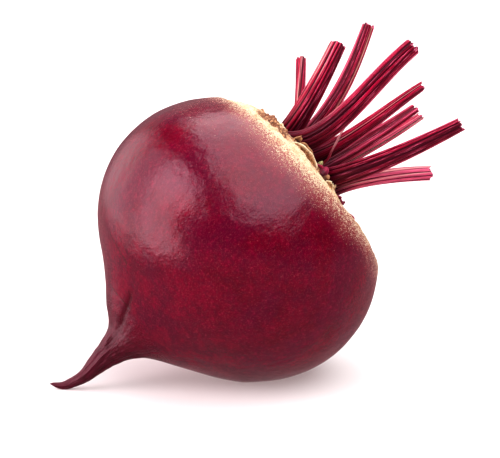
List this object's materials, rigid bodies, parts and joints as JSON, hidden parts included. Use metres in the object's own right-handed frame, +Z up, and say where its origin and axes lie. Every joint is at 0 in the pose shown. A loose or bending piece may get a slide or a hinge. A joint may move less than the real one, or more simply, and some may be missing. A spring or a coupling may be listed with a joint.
{
  "type": "beetroot",
  "caption": "Whole beetroot lying on its side: round root tapering to a bent taproot, corky crown and ribbed leaf stalks cut short.",
  "frame": {"origin": "middle of the small flat spot on the underside that the root rests on", "axes": "+Z up from the surface it lies on; +X along its longest extent, from the taproot's tip towards the cut stalks; +Y away from the front side"},
  "size_m": [0.1237, 0.0908, 0.1058],
  "materials": {
    "root_skin": "smooth satin skin with a corky tan crown",
    "stalk_skin": "ribbed satin stalk skin"
  },
  "bodies": {
    "root": {"root": "root_skin", "leaf_stalk_1": "stalk_skin", "leaf_stalk_2": "stalk_skin", "leaf_stalk_3": "stalk_skin", "leaf_stalk_4": "stalk_skin", "leaf_stalk_5": "stalk_skin", "leaf_stalk_6": "stalk_skin", "leaf_stalk_7": "stalk_skin", "leaf_stalk_8": "stalk_skin", "leaf_stalk_9": "stalk_skin"}
  },
  "joints": []
}
